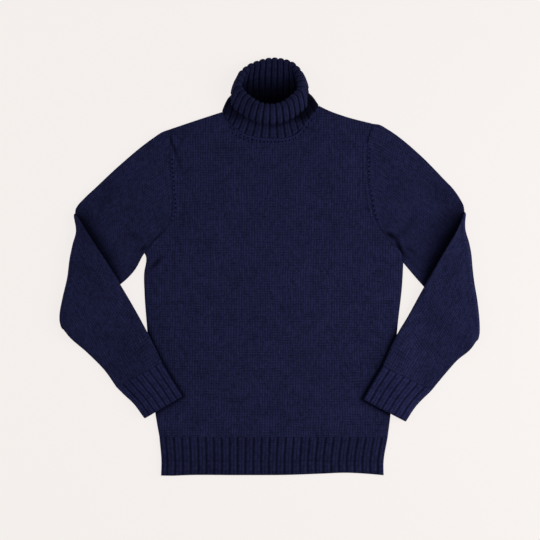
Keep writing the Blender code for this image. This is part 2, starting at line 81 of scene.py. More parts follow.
# Shade painted into the wool
SHADE_FROM, SHADE_FULL = -0.06, 0.06  # shares of a forearm's inner edge over which its shade begins
SHADE_TO = 0.5  # and where it has narrowed to nothing
SHADE_REACH = {"right": 21 * MM, "left": 38 * MM}
CREASE_SHADE = 0.32  # for each millimetre of a crease's depth past the first half
CONTACT_SHADE = 0.95  # on the front beside the forearms and cuffs
CONTACT_REACH = 5.2 * MM
THROAT_SHADE = 0.3, 1.04  # shares of the stand, from the seam up, over which the neck goes dark
LIT_BASE = 0.21, 0.1  # of the way round from the centre front, past which the flap shades the base
BASE_COVER = 0.6, 1.0  # how deep that shade is on the right and on the left
PAINTED_SHADE_DEPTH = 0.88  # how much darker the painted shade makes the wool where it is deepest

# Seams
EDGE_ROUND = 7 * MM  # over which a panel's edge comes down to its seam
HEM_SIDE_ROUND, HEM_END_ROUND = 4 * MM, 3.5 * MM
EDGE_WALL = 0.5 * MM
SEAM_DIP = 0.4 * MM  # cloth drawn down in the armhole seam, and the ridges beside it
SEAM_RIDGE = 1.4 * MM
SEAM_STEP = 0.8 * MM  # by which a sleeve comes down to the front at its seam
STEP_END = 0.15  # share of the upper arm at which that step has ended
SEAM_REACH = 1.4 * MM
RIDGE_AT, RIDGE_REACH = 5.5 * MM, 2.6 * MM

# Collar
COLLAR_WALL = 3.0 * MM
COLLAR_TURN = 4.2 * MM  # radius of its fold
FLAP_BULGE = 1.5 * MM
BULGE_HEIGHTS = 4 * MM, 20 * MM  # over which the flap starts to bulge
FLAT_HEIGHTS = 2.4 * MM, 8 * MM  # below which its ribs are pressed flat
BASE_RIBS = 0.38, 0.22  # of the way round from the centre front, between which the base's ribs start
SEAM_LAP = 2.0 * MM  # of the collar's seam over the neckline
SEAM_RISE = 1.6 * MM
SCALLOP = 0.15  # share of the flap by which the grooves draw up its free edge

# Ribs
HEM_RIBS = 28.54
HEM_FIRST_GROOVE = 0.77
CUFF_RIBS = 14
COLLAR_RIBS = 30
RIB_PITCH = 15.2 * MM
HEM_RISE = 1.7 * MM
HEM_WALL = 2.4 * MM
COLLAR_RISE = 3.6 * MM
CUFF_LENGTH = 76 * MM

# Points and rows of the meshes
FRONT_GRID = 190, 250  # across and up
BACK_GRID = 120, 150
GRID_CROWDING = 1.3, 1.2  # powers that draw its lines towards the edges
UPPER_ROWS, FOLD_ROWS, FOREARM_ROWS = 60, 16, 70  # of a sleeve
ROUND_POINTS, ACROSS_POINTS = 7, 66  # round one edge of a sleeve, and across it between them
RIB_POINTS = 12  # across one rib
LINE_POINTS = 600  # on which the length of a line is measured

# Outlines
SIDES = {  # x, y from the hem rib to the underarm
    "right": [(-215, -330.5), (-221.2, -295.4), (-239.8, -108.2), (-244, -50), (-244.2, -8),
              (-240.6, 12), (-240.8, 20), (-244, 27)],
    "left": [(229.8, -330.5), (234.3, -295.4), (249.7, -108.2), (257.8, -35), (260.2, 7.8)],
}
ARMHOLES = {  # x, y from the underarm to the shoulder tip
    "right": [(-244, 27), (-234, 42), (-200.4, 80), (-188.7, 115.1), (-191.6, 161.9),
              (-195, 224.3), (-193.5, 268.5)],
    "left": [(260.2, 7.8), (255.9, 27.3), (232.5, 50.7), (203.3, 97.5), (194.5, 138.5),
             (188.7, 191.1), (191.6, 243.8), (200.4, 279)],
}
SHOULDERS = {  # x, y from the neckline to the armhole
    "right": [(-92.7, 301.9), (-142, 285.9), (-193.5, 268.5)],
    "left": [(96, 314), (112, 306), (144.9, 293.8), (200.4, 279)],
}
NECKLINES = {  # x, y from the right shoulder to the left
    "front": [(-92.7, 301.9), (-73.8, 279.8), (-51.2, 262.9), (-22.9, 253.5), (3.6, 251.2),
              (33.6, 253.5), (52.6, 260.9), (67.6, 279.8), (84.7, 302.4), (96, 314)],
    "back": [(-92.7, 301.9), (-84.5, 297), (-72, 301), (-52, 306), (-28, 307.8),
             (2.4, 308.5), (36, 312), (60, 313.2), (76, 309.5), (88, 308.4), (96, 314)],
}
HEM_TOP = [(-215, -330.5), (0, -331), (229.8, -330.5)]
HEM_BOTTOM = [(-211.7, -406.3), (-188, -406.6), (-165, -405.6), (-60, -405.4), (40, -404.8),
              (100, -402.6), (148, -400.8), (195, -403.2), (221.8, -405.6)]
HEM_RIGHT = [(-211.7, -406.3), (-211, -381), (-215, -330.5)]
HEM_LEFT = [(221.8, -405.6), (221.6, -382), (229.8, -330.5)]
UNDERARM = 0.575
NECK_FROM, NECK_TO = 0.257, 0.739
SLEEVES = {  # x, y
    "right": {
        "upper": [(-193.5, 268.5), (-210, 262.5), (-226, 252), (-292.6, 198), (-341, 152.8),
                  (-362, 133), (-373, 120.5), (-377.4, 112.5), (-378.4, 104)],
        "under": [(-244, 27), (-252, 15), (-259, 0), (-275, -20), (-292, -35),
                  (-402, -120.9)],
        "fold": [(-378.4, 104), (-370.5, 86), (-367.7, 72), (-373, 45), (-377.8, 20),
                 (-383, -20), (-392.5, -60), (-399.8, -95), (-402, -120.9)],
        "inner": [(-378.4, 104), (-369.5, 92), (-358.5, 75), (-341, 48), (-311.5, 3),
                  (-269.2, -69.5), (-252.8, -98), (-238.4, -124.8), (-208.7, -186)],
        "outer": [(-402, -120.9), (-387, -138.2), (-351.7, -170.6), (-321.3, -201.8), (-298.8, -233.8)],
        "cuff_inner": [(-208.7, -186), (-189, -219), (-169.2, -250.4)],
        "cuff_outer": [(-298.8, -233.8), (-284, -248.6), (-266.7, -264.2), (-243.2, -294.5)],
        "fold_out": (-0.990, -0.141),
    },
    "left": {
        "upper": [(200.4, 279), (214, 277), (229, 268.6), (291.2, 219.6), (338.8, 171.5),
                  (359, 150), (371, 132), (377, 119), (378.6, 107)],
        "under": [(260.2, 7.8), (279.1, -14.6), (298.8, -37.1), (402.6, -143.4)],
        "fold": [(378.6, 107), (372.6, 90), (371.6, 75), (377.6, 48), (381.4, 25), (382.9, 5),
                 (386.2, -25), (392.2, -60.5), (402.6, -143.4)],
        "inner": [(378.6, 107), (375, 98), (369.5, 85), (359.5, 66), (343, 39), (322, 3),
                  (299.8, -37.1), (269.4, -93.5), (249.2, -126.8), (218.3, -193.1)],
        "outer": [(402.6, -143.4), (387, -163), (365.2, -181.8), (347.5, -201.5), (315.2, -240.4)],
        "cuff_inner": [(218.3, -193.1), (199.5, -224), (181.2, -256.5)],
        "cuff_outer": [(315.2, -240.4), (282.5, -274), (264.5, -300.8)],
        "fold_out": (0.992, -0.125),
    },
}
COLLAR = [  # seam x, y, z; base x, y, z; fold x, y, z; edge x, y, z
    [(2.4, 310.2, 1.8), (2.4, 349, 5.8), (4, 399.8, 5.9), (2.2, 357.6, 1.8)],
    [(-30, 309.6, 1.8), (-34.6, 347, 6.4), (-31.7, 390, 10), (-38.6, 355.3, 2.4)],
    [(-60, 308.4, 1.8), (-60.5, 342.5, 8), (-51.6, 374.6, 20), (-65.6, 348.6, 7.2)],
    [(-83.5, 308.5, 2.6), (-71.5, 335, 9.5), (-58.2, 361.5, 28), (-72.4, 336, 15.8)],
    [(-89, 300.5, 5.2), (-78, 324, 13), (-61, 349, 34.5), (-71.5, 321, 23.5)],
    [(-80, 286.5, 5.8), (-68.5, 311.5, 15.5), (-55, 336, 39.5), (-70.5, 308, 26.5)],
    [(-63, 270.5, 6.2), (-50, 297.5, 15.5), (-41, 322.5, 44), (-53, 294.5, 28.5)],
    [(-33, 256.5, 6.2), (-26, 284, 17.5), (-20.5, 309.3, 48.5), (-28, 281.5, 32.5)],
    [(3.6, 253.2, 6.2), (3.6, 278.9, 18.5), (3.5, 305.2, 50), (3.6, 275.3, 34)],
    [(38, 256, 6.2), (31.5, 284, 17.5), (27.5, 311, 48.5), (33, 282, 32.5)],
    [(63, 273.5, 6.2), (53.5, 298.5, 15.5), (47.5, 326, 44), (55, 295.5, 28.5)],
    [(80, 293.5, 5.8), (69.5, 312, 15.5), (59.5, 339.5, 39.5), (68.5, 308, 26.5)],
    [(92, 310.5, 5.3), (81.5, 325, 14), (61, 351.5, 34.5), (69, 321, 24.2)],
    [(86.5, 318.5, 2.6), (75, 336, 9.5), (59.4, 363.5, 28), (72.6, 338.5, 17.4)],
    [(64, 317.3, 1.8), (63.5, 344, 8), (55.6, 376, 20), (69, 350.4, 7.4)],
    [(36, 314, 1.8), (39.5, 347.5, 6.4), (38.5, 393.2, 10), (42.7, 355.6, 2.2)],
]
SEAM_LINE, BASE_LINE, FOLD_LINE, EDGE_LINE = range(4)

# Creases, each a soft trough (depth below 0) or ridge along a line
CREASES = {  # x0, y0, x1, y1, half width, depth
    "front": [
        (-196.5, 256, -177.5, 208, 3.2, -2.6),
        (-179, 212, -176, 190, 3, -1.6),
        (-172, 250, -154, 205, 9, 1.6),
        (-188, 262, -150, 268, 6, -1),
        (-176, 150, -184, 95, 6, 1),
        (-160, 120, -190, 70, 8, -1),
        (193.5, 268, 187, 238, 3, -1.8),
        (178, 262, 172, 205, 7, 1.1),
        (214, 84, 234, 54, 4, -1.4),
        (205, 70, 236, 28, 8, 1.2),
        (-233, -4, -209, 20, 4.6, -3),
        (-238, -12, -200, -16, 6, 1),
        (-240, -69, -150, -69.5, 2.4, -1.25),
        (108, -69, 254, -68, 2.4, -1.15),
        (-232, -230, -150, -180, 14, -0.8),
        (242, -210, 160, -150, 16, -0.8),
        (-90, 232, -50, 215, 8, -0.8),
        (70, 238, 110, 262, 9, -0.8),
    ],
    "back": [
        (-190, 240, -160, 190, 6, -1.6),
        (196, 236, 168, 180, 7, -1.6),
        (-225, 30, -170, 0, 7, -1.4),
        (240, 30, 190, 5, 6, -1.5),
        (-200, -120, -60, -135, 9, -1.2),
        (30, -90, 200, -110, 8, -1.1),
        (-150, -270, 20, -255, 10, -1),
    ],
    "sleeve_right": [
        (-240, 42, -252, 32, 4.4, -3.4),
        (-243, 40, -290, 84, 7, -1.4),
        (-228, 62, -262, 118, 8, 1.4),
        (-216, 240, -226, 190, 9, 1.2),
        (-300, 170, -340, 96, 12, -1.4),
        (-372, 20, -330, -40, 10, -1.2),
        (-388, -60, -340, -110, 11, 1.3),
        (-345, -150, -300, -130, 8, -1),
        (-262, -170, -235, -150, 7, -1),
    ],
    "sleeve_left": [
        (246, 52, 292, 108, 8, -1.6),
        (236, 74, 262, 126, 8, 1.2),
        (224, 69, 249, 53, 4.8, -4),
        (243, 57, 263, 16, 4.4, -4.2),
        (262, 40, 288, 22, 4, -1.6),
        (318, 176, 352, 92, 13, -1.6),
        (375, 20, 330, -36, 10, -1.1),
        (386, -70, 346, -122, 12, 1.2),
        (330, -170, 292, -140, 8, -1),
        (262, -185, 236, -160, 7, -0.9),
    ],
}

# Fashioning marks beside the armholes: share of the line from the underarm at the first mark and the
# last, and how many
ARMHOLE_MARKS = {
    "right": [(0.785, 0.52, 9), (0.485, 0.33, 6)],
    "left": [(0.84, 0.635, 8), (0.56, 0.36, 7)],
}
MARKS_BESIDE = 3.8 * MM
MARKS_TURN = {"right": -70, "left": -110}  # degrees from the way that the armhole runs
HOLE_STEP = np.array([1.5, -3.2]) * MM  # from a mark to the hole below it
NECK_HOLES = [  # share of the front neckline at the first and last hole, how far below, how many
    (0.34, 0.66, 8.0, 12),
    (0.14, 0.33, 8.0, 7),
    (0.18, 0.34, 13.5, 6),
    (0.68, 0.86, 8.0, 6),
]
CHAIN_LOOPS = 44
CHAIN_BELOW = 3.4 * MM
BEAD = 5.4 * MM, 2.8 * MM, 2.6 * MM  # length, width and height of a raised loop
HOLE = 2.8 * MM, 4.4 * MM, 0.8 * MM

# Knitting gauge. A real stitch here is about 4 mm wide and 3 mm long, which is two pixels by one and a
# half, so it is drawn 5 mm by 5 mm for the columns and courses to show.
STITCH_WIDE = 5.0 * MM
STITCH_LONG = 5.0 * MM
V_SLANT = 0.7  # rise of the sides of a V, in stitches for each column's width
MATH = "ShaderNodeMath"

# Painted shade in the wool's colour, between the stitches and in the grooves of the ribs
COLUMN_SHADE = 0.5  # painted shade: how much darker the wool is drawn between two columns of stitches
COURSE_SHADE = 0.5  # and between two courses
RIB_COLUMN_SHADE = 0.4
RIB_SHADE = 0.45  # painted shade: the share of the wool's colour left at the bottom of the grooves
RIB_COURSE_SHADE = 0.2
BUMP_DEPTH = 0.8 * MM

# Unevenness of the wool: size from one rise to the next, detail, and the lowest and highest value. A
# real fibre is about 0.02 mm wide, too fine to show, so the fibres are drawn as coarse as they need.
WANDER = 62.5 * MM, 1.0, -0.25, 0.25  # in stitches, so that the columns aren't quite straight
TENSION = 22.2222 * MM, 2.0, 0.15, 1.0  # how clearly the columns show, rather than the courses
PATCHES = 45.4545 * MM, 3.0, -0.07, 0.07
SPECKLE = 4.7619 * MM, 1.0, -0.14, 0.14  # about one loop
FIBRES = 1.42857 * MM, 2.0, -0.1, 0.1
STREAK_SIZE = 5.88235 * MM, 18.1818 * MM  # across and along the columns
STREAKS = 1.0, 1.0, -0.1, 0.1  # its size is one streak
STITCH_TONE = 0.85, 0.3  # of the darkest stitch, and how much lighter the lightest is
WOOL_ROUGHNESS, WOOL_GLOSS, WOOL_SHEEN = 0.95, 0.1, 0.015
GLEAM = "A8ACFF"  # the weak gloss of dyed wool, which is blue too

# Camera and light
SKY = 0.3
RIGHT_AT, RIGHT_POWER = (1.4, -0.15, 1.05), 27.0
LEFT_AT, LEFT_POWER = (-1.7, 0.25, 1.25), 11.0
SOFTBOX_SIZE = 1.1, 1.6
FLOOR_GLOW = 0.9
CAMERA_HEIGHT = 3.0
FRAME_WIDTH = 1.053  # of the table, across the picture
CAMERA_AT = (0.0005, -0.00585)
FLOOR_SIZE, FLOOR_AT = 20, -0.0004
SENSOR = 36.0


# Colours


def colour(hex_colour):
    """An sRGB hex colour as linear RGBA."""
    parts = [int(hex_colour[i:i + 2], 16) / 255 for i in (0, 2, 4)]
    return [c / 12.92 if c <= 0.04045 else ((c + 0.055) / 1.055) ** 2.4 for c in parts] + [1.0]


# Lines and surfaces


def ramp(x, low, high):
    """0 at low and beyond, 1 at high and beyond and smooth between."""
    s = np.clip((np.asarray(x, float) - low) / (high - low), 0, 1)
    return s * s * (3 - 2 * s)


def unit(vectors):
    return vectors / np.linalg.norm(vectors, axis=-1)[..., None]


def hermite(knots, at, slopes, where):
    """Points at the places where, on the curve through knots that stand at the places at."""
    i = np.clip(np.searchsorted(at, where, side="right") - 1, 0, len(at) - 2)
    span = (at[i + 1] - at[i])[:, None]
    s = ((where - at[i]) / (at[i + 1] - at[i]))[:, None]
    return (
        (2 * s**3 - 3 * s**2 + 1) * knots[i]
        + (s**3 - 2 * s**2 + s) * span * slopes[i]
        + (3 * s**2 - 2 * s**3) * knots[i + 1]
        + (s**3 - s**2) * span * slopes[i + 1]
    )


def lengths_along(points):
    """Length of a line of points up to each of them."""
    return np.concatenate([[0.0], np.cumsum(np.linalg.norm(np.diff(points, axis=0), axis=1))])


def smooth_line(points):
    """A smooth line through the points, as a function of the share 0 to 1 of its length."""
    knots = np.array(points, float) * MM
    at = lengths_along(knots)
    slopes = np.gradient(knots, at, axis=0)
    fine = np.linspace(0, at[-1], LINE_POINTS)
    length = lengths_along(hermite(knots, at, slopes, fine))

    def line(share):
        share = np.atleast_1d(np.asarray(share, float))
        return hermite(knots, at, slopes, np.interp(share * length[-1], length, fine))

    return line


def joined(lines, breaks):
    """Lines end to end as one function of 0 to 1, which passes from one to the next at the breaks."""
    ends = [0.0, *breaks, 1.0]

    def line(share):
        share = np.atleast_1d(np.asarray(share, float))
        which = np.clip(np.searchsorted(ends, share, side="right") - 1, 0, len(lines) - 1)
        out = np.zeros((len(share), 2))
        for i, part in enumerate(lines):
            here = which == i
            if here.any():
                out[here] = part((share[here] - ends[i]) / (ends[i + 1] - ends[i]))
        return out

    return line


def patch(south, north, west, east):
    """The surface that four edge lines span, as a function of the shares across and up."""

    def at(across, up):
        u, v = np.meshgrid(np.asarray(across, float), np.asarray(up, float))
        flat_u, flat_v = u.ravel(), v.ravel()
        a, b = flat_u[:, None], flat_v[:, None]
        ruled = (1 - b) * south(flat_u) + b * north(flat_u) + (1 - a) * west(flat_v) + a * east(flat_v)
        corners = (
            (1 - a) * (1 - b) * south(0.0)
            + a * (1 - b) * south(1.0)
            + (1 - a) * b * north(0.0)
            + a * b * north(1.0)
        )
        return (ruled - corners).reshape(*u.shape, 2)

    return at


def raised(plan, height):
    """Plan points with their heights."""
    return np.dstack([plan, np.broadcast_to(height, plan.shape[:2])])


def seam_relief(distance):
    """Height beside an armhole seam: a narrow dip in it and a ridge where the edges are turned in."""
    dip = SEAM_DIP * np.exp(-((distance / SEAM_REACH) ** 2))
    return SEAM_RIDGE * np.exp(-(((distance - RIDGE_AT) / RIDGE_REACH) ** 2)) - dip


def creased(plan, piece):
    """How far the creases of a piece lift or lower its points, and how deep the shade painted into them is.
    """
    height = np.zeros(plan.shape[:-1])
    shade = np.zeros(plan.shape[:-1])
    for x0, y0, x1, y1, half_width, depth in CREASES[piece]:
        start, end = np.array([x0, y0]) * MM, np.array([x1, y1]) * MM
        along = np.clip(((plan - start) @ (end - start)) / ((end - start) @ (end - start)), 0, 1)
        off = np.linalg.norm(plan - start - along[..., None] * (end - start), axis=-1)
        fade = np.sin(math.pi * np.clip(along * 0.9 + 0.05, 0, 1))
        here = fade * np.exp(-((off / (half_width * MM)) ** 2))
        height += depth * MM * here
        shade = np.maximum(shade, CREASE_SHADE * max(-depth - 0.5, 0) * here)
    return height, np.minimum(shade, 1.0)


def beside_sleeves(plan):
    """Painted shade on the front, as cast by each forearm and cuff that lies on it, in a narrow strip along
    it.
    """
    shade = np.zeros(plan.shape[:-1])
    for table in SLEEVES.values():
        edge = np.vstack([
            smooth_line(table["inner"])(np.linspace(0.5, 1, 60)),
            smooth_line(table["cuff_inner"])(np.linspace(0, 1, 40)),
            smooth_line([table["cuff_inner"][-1], table["cuff_outer"][-1]])(np.linspace(0, 1, 40)),
        ])
        off = np.min(np.linalg.norm(plan[..., None, :] - edge, axis=-1), axis=-1)
        shade = np.maximum(shade, CONTACT_SHADE * np.exp(-((off / CONTACT_REACH) ** 2)))
    return shade


# Meshes


def cloth_wall(name, face, lining, ring, uv, material, painted_shade=None):
    """One closed wall between two grids of points. uv gives each grid point its place in the cloth,
    and the last argument says how deep the shade painted on the points of both grids is, from 0 to 1."""
    rows, columns = face.shape[:2]
    index = np.arange(rows * columns).reshape(rows, columns)
    if ring:
        index = np.hstack([index, index[:, :1]])
    under = index + rows * columns
    wide = index.shape[1]
    place = np.arange(rows * wide).reshape(rows, wide)

    def quads(a, b, c, d):
        return np.stack([a.ravel(), b.ravel(), c.ravel(), d.ravel()], axis=1)

    def square(grid):
        return grid[:-1, :-1], grid[:-1, 1:], grid[1:, 1:], grid[1:, :-1]

    parts = [
        (quads(*square(index)), quads(*square(place))),
        (quads(*square(under)[::-1]), quads(*square(place)[::-1])),
    ]
    rims = [(np.s_[0, :], -1), (np.s_[-1, :], 1)]
    if not ring:
        rims += [(np.s_[:, 0], 1), (np.s_[:, -1], -1)]
    for rim, turn in rims:
        a, b = (index[rim][:-1], index[rim][1:])[::turn]
        c, d = (under[rim][:-1], under[rim][1:])[::turn]
        p, q = (place[rim][:-1], place[rim][1:])[::turn]
        parts.append((quads(a, b, d, c), quads(p, q, q, p)))
    faces = np.vstack([p[0] for p in parts])
    places = np.vstack([p[1] for p in parts])
    points = np.vstack([face.reshape(-1, 3), lining.reshape(-1, 3)])
    mesh = bpy.data.meshes.new(name)
    mesh.from_pydata(points.tolist(), [], faces.tolist())
    layer = mesh.uv_layers.new(name="cloth")
    layer.data.foreach_set("uv", uv.reshape(-1, 2)[places.ravel()].astype(np.float32).ravel())
    outwards = bmesh.new()
    outwards.from_mesh(mesh)
    bmesh.ops.recalc_face_normals(outwards, faces=outwards.faces)
    outwards.to_mesh(mesh)
    outwards.free()
    mesh.shade_smooth()
    mesh.materials.append(material)
    # Painted shade, kept on the mesh for the wool's material to darken its colour by
    if painted_shade is not None:
        shade = mesh.attributes.new("painted_shade", "FLOAT", "POINT")
        shade.data.foreach_set("value", np.concatenate([h.ravel() for h in painted_shade]).astype(np.float32))
    piece = bpy.data.objects.new(name, mesh)
    bpy.context.scene.collection.objects.link(piece)
    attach(piece, "root")
    return piece


# Body


def shoulder_line(neckline):
    """The top edge of a panel: shoulder, neckline and shoulder."""
    right, left = smooth_line(SHOULDERS["right"][::-1]), smooth_line(SHOULDERS["left"])
    return joined([right, smooth_line(NECKLINES[neckline]), left], [NECK_FROM, NECK_TO])


def body_edge(side):
    """A panel's side seam and armhole as one line."""
    return joined([smooth_line(SIDES[side]), smooth_line(ARMHOLES[side])], [UNDERARM])


def body_patch(neckline):
    """Plan of the front or the back above its hem rib."""
    return patch(smooth_line(HEM_TOP), shoulder_line(neckline), body_edge("right"), body_edge("left"))


def swell(across, up):
    """How far the front has risen off the back, from 0 at its edges to 1."""
    u, v = np.meshgrid(across, up)
    return (1 - np.abs(2 * u - 1) ** SWELL_ACROSS) * (1 - np.abs(2 * v - 1) ** SWELL_UP)


def crowded(count, power):
    """Shares from 0 to 1 that lie closer together near both ends."""
    s = np.linspace(-1, 1, count)
    return 0.5 + 0.5 * np.sign(s) * (1 - (1 - np.abs(s)) ** power)


def rounding(distance, reach):
    """Share of the wall's thickness left at a distance from a rounded edge."""
    s = np.clip(distance / reach, 0, 1)
    return np.sqrt(1 - (1 - s) ** 2)


def spans(plan):
    """Width of each row of plan points and height of each column."""
    width = np.linalg.norm(plan[:, -1] - plan[:, 0], axis=-1)
    return width[:, None], np.linalg.norm(plan[-1] - plan[0], axis=-1)[None, :]


def panel(cad_node, grid, underside, sign, material):
    """The front or the back. sign is 1 where its outer side faces up and -1 where it faces the floor."""
    across, up = [crowded(count, power) for count, power in zip(grid, GRID_CROWDING)]
    plan = body_patch(cad_node)(across, up)
    width, tall = spans(plan)
    from_side = np.minimum(across, 1 - across)[None, :] * width
    below_underarm = up[:, None] < UNDERARM
    from_top = (1 - up)[:, None] * tall
    on_shoulder = (across < NECK_FROM) | (across > NECK_TO)
    outer_edge = np.where(below_underarm, rounding(from_side, EDGE_ROUND), 1.0)
    shoulder = np.where(on_shoulder[None, :], rounding(from_top, EDGE_ROUND), 1.0)
    full = np.minimum(outer_edge, shoulder)
    seam = np.where(below_underarm, 0.0, seam_relief(from_side))
    wall = EDGE_WALL + (WALL - EDGE_WALL) * full
    base = underside(across, up)
    relief, shade = creased(plan, cad_node)
    relief = relief * ramp(from_top, 0.0, RIDGE_AT)
    if sign > 0:
        face, lining = raised(plan, base + wall + seam + relief), raised(plan, base)
        # painted shade beside the forearms and cuffs that lie on the front
        shade = np.maximum(shade, beside_sleeves(plan))
    else:
        face, lining = raised(plan, base + WALL), raised(plan, base + WALL - wall - relief)
    piece = cloth_wall("knit_" + cad_node, face, lining, False, plan, material, (shade, 0 * shade))
    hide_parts(cad_node)
    return piece


def rib_places(ribs):
    """Places across a number of ribs, in rib widths, closer together at the grooves."""
    turn = np.linspace(-0.5, 0.5, RIB_POINTS + 1)[:-1] * math.pi
    one = 0.5 + 0.5 * np.sin(turn)
    return np.concatenate([k + one for k in range(int(ribs))])


def finger(place, fullness):
    """Rise of a rib across its width, from 0 in the groove to 1 on the round crest."""
    from_crest = np.abs(2 * (place % 1.0) - 1)
    return np.maximum(1 - from_crest**2, 0.0) ** fullness


def hem(cad_node, base, sign, material):
    """The rib at the hem. The back's ribs face the floor and are pressed flat."""
    first, last = -HEM_FIRST_GROOVE, HEM_RIBS - HEM_FIRST_GROOVE
    place = rib_places(HEM_RIBS + 2) - 1
    # One more point close to each end keeps the edge round.
    place = np.concatenate([[first, first + 0.06], place[(place > first + 0.1) & (place < last - 0.1)],
                            [last - 0.06, last]])
    across = (place - first) / HEM_RIBS
    up = np.concatenate([[0.0, 0.006, 0.015, 0.03, 0.05], np.linspace(0.08, 1.0, 24)])
    edges = [smooth_line(line) for line in (HEM_BOTTOM, HEM_TOP, HEM_RIGHT, HEM_LEFT)]
    plan = patch(*edges)(across, up)
    width, tall = spans(plan)
    from_side = np.minimum(across, 1 - across)[None, :] * width
    edge = np.minimum(rounding(from_side, HEM_SIDE_ROUND), rounding(up[:, None] * tall, HEM_END_ROUND))
    rise = HEM_RISE * finger(place, 0.6)[None, :] * (1 - 0.25 * ramp(up, 0.93, 1.0))[:, None]
    wall = EDGE_WALL + (HEM_WALL + rise - EDGE_WALL) * edge
    uv = np.dstack([np.broadcast_to(place * RIB_PITCH, plan.shape[:2]), plan[..., 1]])
    if sign > 0:
        face, lining = raised(plan, base + wall), raised(plan, base)
    else:
        flat_wall = EDGE_WALL + (WALL - EDGE_WALL) * edge
        face, lining = raised(plan, base + WALL), raised(plan, base + WALL - flat_wall)
    piece = cloth_wall("rib_" + cad_node, face, lining, False, uv, material)
    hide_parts(cad_node)
    return piece


# Sleeves


def outside(plan, line, side):
    """How far plan points lie past a line, on the side of the wearer's arm."""
    trace = line(np.linspace(0, 1, 60))
    ahead = unit(np.gradient(trace, axis=0))
    nearest = np.argmin(np.linalg.norm(plan[..., None, :] - trace, axis=-1), axis=-1)
    away = plan - trace[nearest]
    turn = 1 if side == "right" else -1
    return turn * (ahead[nearest][..., 0] * away[..., 1] - ahead[nearest][..., 1] * away[..., 0])


def forearm_base(plan, side):
    """Underside of a forearm: up on the body and the upper arm, down on the table past both."""
    off_body = ramp(outside(plan, body_edge(side), side), SAG_FROM, SAG_TO)
    off_arm = ramp(outside(plan, smooth_line(SLEEVES[side]["under"]), side), SAG_FROM, SAG_TO)
    return FOREARM_LIFT * (1 - off_body * off_arm)


def corner(across):
    """How far a fold stands out along its line: round at its top end, and tapered at its bottom end."""
    from_middle = np.abs(2 * across - 1)
    top, bottom = FOLD_CORNERS
    return np.where(across < 0.5, (1 - from_middle**top) ** 0.5, 1 - from_middle**bottom)


def pinch(across):
    """Share of a fold's height that is lost, so that its two layers meet at both ends."""
    return (1 - corner(across)) ** 2


def flat_loop(edges, across_to_plan, middle_z, inset, lower, upper, up, lift, softened):
    """A closed loop round a flattened sleeve, and each point's place across the cloth. Its edges are
    half round, and softened to a longer curve near a fold."""
    width = np.linalg.norm(edges[1] - edges[0])
    radius = SLEEVE_ROUND - inset
    reach = radius + (FOLD_END - SLEEVE_ROUND) * softened
    turn = np.linspace(0, math.pi / 2, ROUND_POINTS)
    near = ((1 - np.cos(turn)) * reach + inset) / width
    between = np.linspace(near[-1], 1 - near[-1], ACROSS_POINTS)[1:-1]
    across = np.concatenate([near, between, 1 - near[::-1]])
    rise = radius * np.concatenate([np.sin(turn), np.ones(len(between)), np.sin(turn)[::-1]])
    full = np.where(rise > 0.999 * radius, 1 - np.abs(2 * across - 1) ** 2.5, 0.0)
    plan = across_to_plan(across)
    middle = np.column_stack([plan, middle_z(plan, across)])
    over = middle + (rise + upper * full + lift(plan, 1) * full)[:, None] * up
    beneath = middle - (rise + lower * full + lift(plan, -1) * full)[:, None] * up
    place = (across - 0.5) * width
    return np.vstack([over, beneath[-2:0:-1]]), np.concatenate([place, place[-2:0:-1]])


